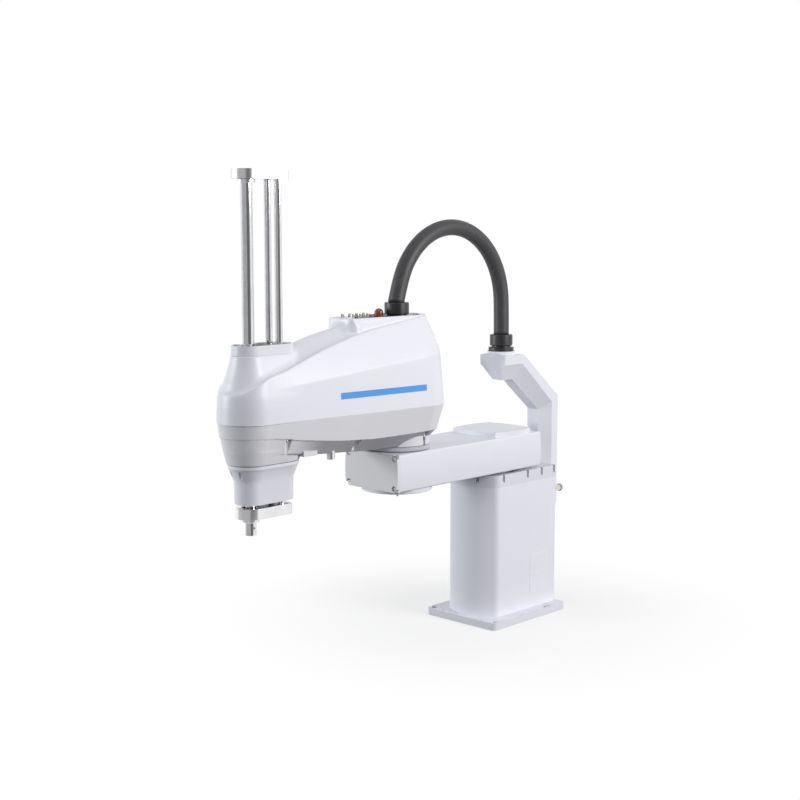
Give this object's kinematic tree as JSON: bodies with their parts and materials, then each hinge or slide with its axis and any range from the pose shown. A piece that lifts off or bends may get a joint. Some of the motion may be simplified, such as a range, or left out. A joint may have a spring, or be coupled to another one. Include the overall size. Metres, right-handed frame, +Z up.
{
  "type": "scara robot",
  "caption": "Four-axis horizontal arm robot: column base, inner arm, tapered outer arm with covers, long hollow tool shaft with guide rods, and a hose looped over from a duct behind the base.",
  "frame": {"origin": "where the first joint's axis meets the mounting face under the base plate", "axes": "+Z up along the first joint's axis, +X forward along both arms at rest, +Y to the robot's left"},
  "size_m": [1.36, 0.283, 1.389],
  "materials": {
    "painted_casting": "satin",
    "cover_plastic": "satin",
    "black_plastic": "matte",
    "hose_rubber": "matte",
    "belt_rubber": "matte",
    "lamp_lens": "gloss",
    "blank_label": "satin",
    "machined_aluminium": "satin",
    "steel": "satin",
    "bush_bronze": "satin",
    "chromed_steel": "polished",
    "nickel_fitting": "gloss",
    "motor_body": "matte"
  },
  "bodies": {
    "base": {"base_casting": "painted_casting", "base_cap": "painted_casting", "cap_screws": "steel", "j1_bearing": "steel", "j1_reducer": "motor_body", "j1_motor": "motor_body", "rear_panel": "painted_casting", "rear_screws": "steel", "rear_connectors": "black_plastic", "air_ports": "nickel_fitting", "blank_plates": "blank_label", "hose_duct": "painted_casting", "duct_gland_body": "black_plastic", "duct_gland_nut": "black_plastic"},
    "arm_1": {"j1_output_flange": "steel", "arm1_casting": "painted_casting", "arm1_end_plate": "painted_casting", "j1_top_cover": "painted_casting", "j2_under_cover": "painted_casting", "j2_output_flange": "steel", "arm1_screws": "steel", "hose": "hose_rubber"},
    "arm_2": {"arm2_frame": "painted_casting", "arm2_cover": "cover_plastic", "cover_screws": "steel", "j2_disc": "machined_aluminium", "j2_reducer": "motor_body", "j2_motor": "motor_body", "motor_deck": "machined_aluminium", "deck_posts": "machined_aluminium", "z_motor": "motor_body", "r_motor": "motor_body", "z_belt": "belt_rubber", "r_belt": "belt_rubber", "nut_bearings": "steel", "top_collar": "cover_plastic", "collar_seal": "black_plastic", "rod_bushes": "bush_bronze", "quill_neck": "painted_casting", "neck_screws": "steel", "neck_seal": "black_plastic", "turret_panel": "black_plastic", "lamp": "lamp_lens", "air_fittings": "nickel_fitting", "top_gland_body": "black_plastic", "top_gland_nut": "black_plastic", "belly_plug": "machined_aluminium", "belly_pad": "painted_casting"},
    "z_nut": {"z_nut": "steel"},
    "z_motor_pulley": {"z_motor_pulley": "machined_aluminium"},
    "r_nut": {"r_nut": "steel"},
    "r_motor_pulley": {"r_motor_pulley": "machined_aluminium"},
    "carriage": {"top_plate": "machined_aluminium", "bottom_plate": "machined_aluminium", "guide_rods": "chromed_steel", "plate_screws": "steel", "axis_bearings": "steel"},
    "shaft": {"spline_shaft": "chromed_steel", "axis_collars": "steel"}
  },
  "joints": [
    {"name": "j1_swing", "type": "hinge", "parent": "base", "child": "arm_1", "pos_m": [0, 0, 0.45], "axis": [0, 0, 1], "range_deg": [-130, 130]},
    {"name": "j2_swing", "type": "hinge", "parent": "arm_1", "child": "arm_2", "pos_m": [0.435, 0, 0.6], "axis": [0, 0, 1], "range_deg": [-115, 115]},
    {"name": "j3_lift", "type": "slide", "parent": "arm_2", "child": "carriage", "axis": [0, 0, 1], "range_m": [-0.42, 0]},
    {"name": "j4_turn", "type": "hinge", "parent": "carriage", "child": "shaft", "pos_m": [1, 0, 0.5], "axis": [0, 0, 1], "range_deg": [-360, 360]},
    {"name": "z_nut_turn", "type": "hinge", "parent": "arm_2", "child": "z_nut", "pos_m": [1, 0, 0.66], "axis": [0, 0, 1], "continuous": true},
    {"name": "z_motor_turn", "type": "hinge", "parent": "arm_2", "child": "z_motor_pulley", "pos_m": [0.8, 0, 0.7], "axis": [0, 0, 1], "continuous": true},
    {"name": "r_nut_turn", "type": "hinge", "parent": "arm_2", "child": "r_nut", "pos_m": [1, 0, 0.75], "axis": [0, 0, 1], "continuous": true},
    {"name": "r_motor_turn", "type": "hinge", "parent": "arm_2", "child": "r_motor_pulley", "pos_m": [0.69, 0, 0.74], "axis": [0, 0, 1], "continuous": true}
  ],
  "couplings": [
    {"joint": "z_nut_turn", "follows": "j3_lift", "rad_per_m": 196.35},
    {"joint": "z_motor_turn", "follows": "j3_lift", "rad_per_m": 229.07},
    {"joint": "r_nut_turn", "follows": "j4_turn", "ratio": 1},
    {"joint": "r_motor_turn", "follows": "j4_turn", "ratio": 1.1667}
  ]
}
